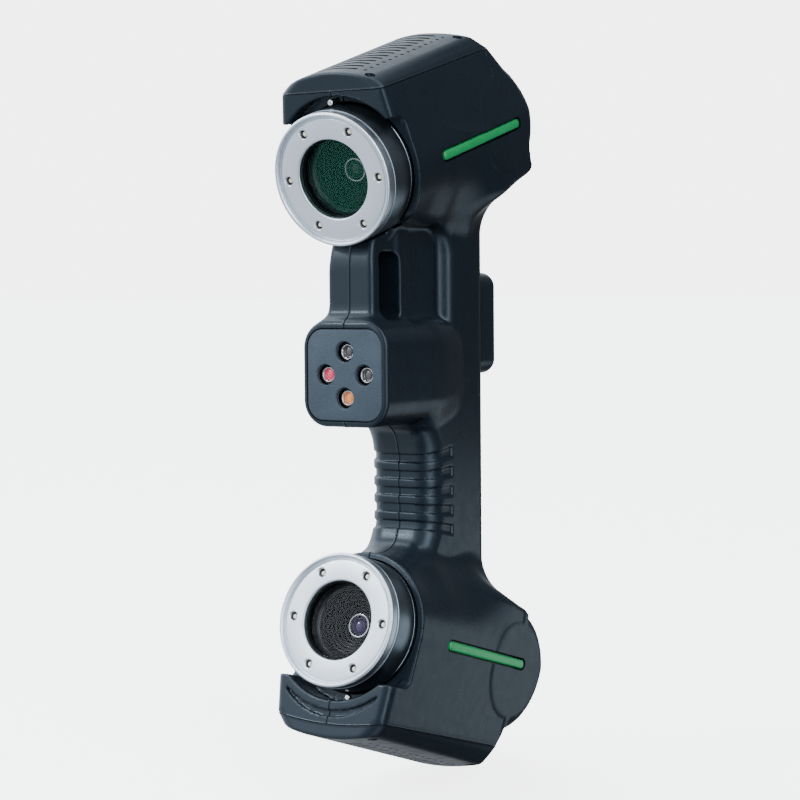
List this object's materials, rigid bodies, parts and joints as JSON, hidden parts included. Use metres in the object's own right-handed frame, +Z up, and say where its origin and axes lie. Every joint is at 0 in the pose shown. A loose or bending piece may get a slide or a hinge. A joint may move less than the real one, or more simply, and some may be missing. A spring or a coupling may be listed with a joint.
{
  "type": "handheld scanner",
  "caption": "Handheld 3-D scanner: tilted camera heads with ring lights at both ends of an upright grip, a laser block between them, light bars and a rear keypad.",
  "frame": {"origin": "centre of the grip, on the scanner's plane of symmetry", "axes": "+Z up along the grip, -Y is the front where the lenses look, X across; the operator's left hand side is +X"},
  "size_m": [0.0602, 0.1256, 0.3034],
  "materials": {
    "housing_plastic": "fine satin grain, near black with a blue-grey cast",
    "plate_plastic": "coarser matt grain, slightly lighter than the housing",
    "silver_aluminium": "bead blasted, clear anodised, turned rim",
    "dark_metal": "glossy dark grey",
    "bare_aluminium": "machined",
    "black_metal": "black satin anodised",
    "steel": "turned, bright",
    "green_light": "translucent green light guide",
    "window_glass": "coated flat glass, faint green reflection",
    "lens_glass": "coated curved glass",
    "black_rubber": "matt",
    "key_rubber": "soft touch grey",
    "circuit_board": "green solder mask",
    "led_board": "white board with warm white LEDs"
  },
  "bodies": {
    "scanner": {"left_housing": "housing_plastic", "right_housing": "housing_plastic", "top_vent_cover": "housing_plastic", "bottom_vent_cover": "housing_plastic", "laser_front_plate": "plate_plastic", "laser_mount": "bare_aluminium", "laser_module_upper": "steel", "laser_module_lower": "steel", "laser_module_left": "steel", "laser_module_right": "steel", "keypad_bezel": "housing_plastic", "keypad_mat": "black_rubber", "keypad_board": "circuit_board", "top_led_ring": "silver_aluminium", "top_lens_barrel": "dark_metal", "top_led_board": "led_board", "top_window_glass": "window_glass", "top_window_seal": "black_rubber", "top_camera_lens": "black_metal", "top_camera_lens_glass": "lens_glass", "top_camera_body": "bare_aluminium", "top_heat_sink": "bare_aluminium", "top_left_light_bar": "green_light", "top_left_light_board": "circuit_board", "top_right_light_bar": "green_light", "top_right_light_board": "circuit_board", "top_cover_screw_front_a": "black_metal", "top_cover_screw_front_b": "black_metal", "top_cover_screw_rear_a": "black_metal", "top_cover_screw_rear_b": "black_metal", "top_visor_screw": "steel", "bottom_led_ring": "silver_aluminium", "bottom_lens_barrel": "dark_metal", "bottom_led_board": "led_board", "bottom_window_glass": "window_glass", "bottom_window_seal": "black_rubber", "bottom_camera_lens": "black_metal", "bottom_camera_lens_glass": "lens_glass", "bottom_camera_body": "bare_aluminium", "bottom_heat_sink": "bare_aluminium", "bottom_left_light_bar": "green_light", "bottom_left_light_board": "circuit_board", "bottom_right_light_bar": "green_light", "bottom_right_light_board": "circuit_board", "bottom_cover_screw_front_a": "black_metal", "bottom_cover_screw_front_b": "black_metal", "bottom_cover_screw_rear_a": "black_metal", "bottom_cover_screw_rear_b": "black_metal", "bottom_visor_screw": "steel", "optical_frame": "bare_aluminium", "main_board": "circuit_board", "cable_socket": "steel", "housing_screw_grip_low": "black_metal", "housing_screw_grip_high": "black_metal", "housing_screw_top_head": "black_metal", "housing_screw_bottom_head": "black_metal"},
    "scan_key": {"scan_button": "key_rubber"},
    "plus_key": {"plus_button": "key_rubber"},
    "minus_key": {"minus_button": "key_rubber"}
  },
  "joints": [
    {"name": "scan_press", "type": "slide", "parent": "scanner", "child": "scan_key", "axis": [0, -1, 0], "range_m": [0, 0.0008], "stiffness_N_per_m": 700},
    {"name": "plus_press", "type": "slide", "parent": "scanner", "child": "plus_key", "axis": [0, -1, 0], "range_m": [0, 0.0008], "stiffness_N_per_m": 700},
    {"name": "minus_press", "type": "slide", "parent": "scanner", "child": "minus_key", "axis": [0, -1, 0], "range_m": [0, 0.0008], "stiffness_N_per_m": 700}
  ]
}
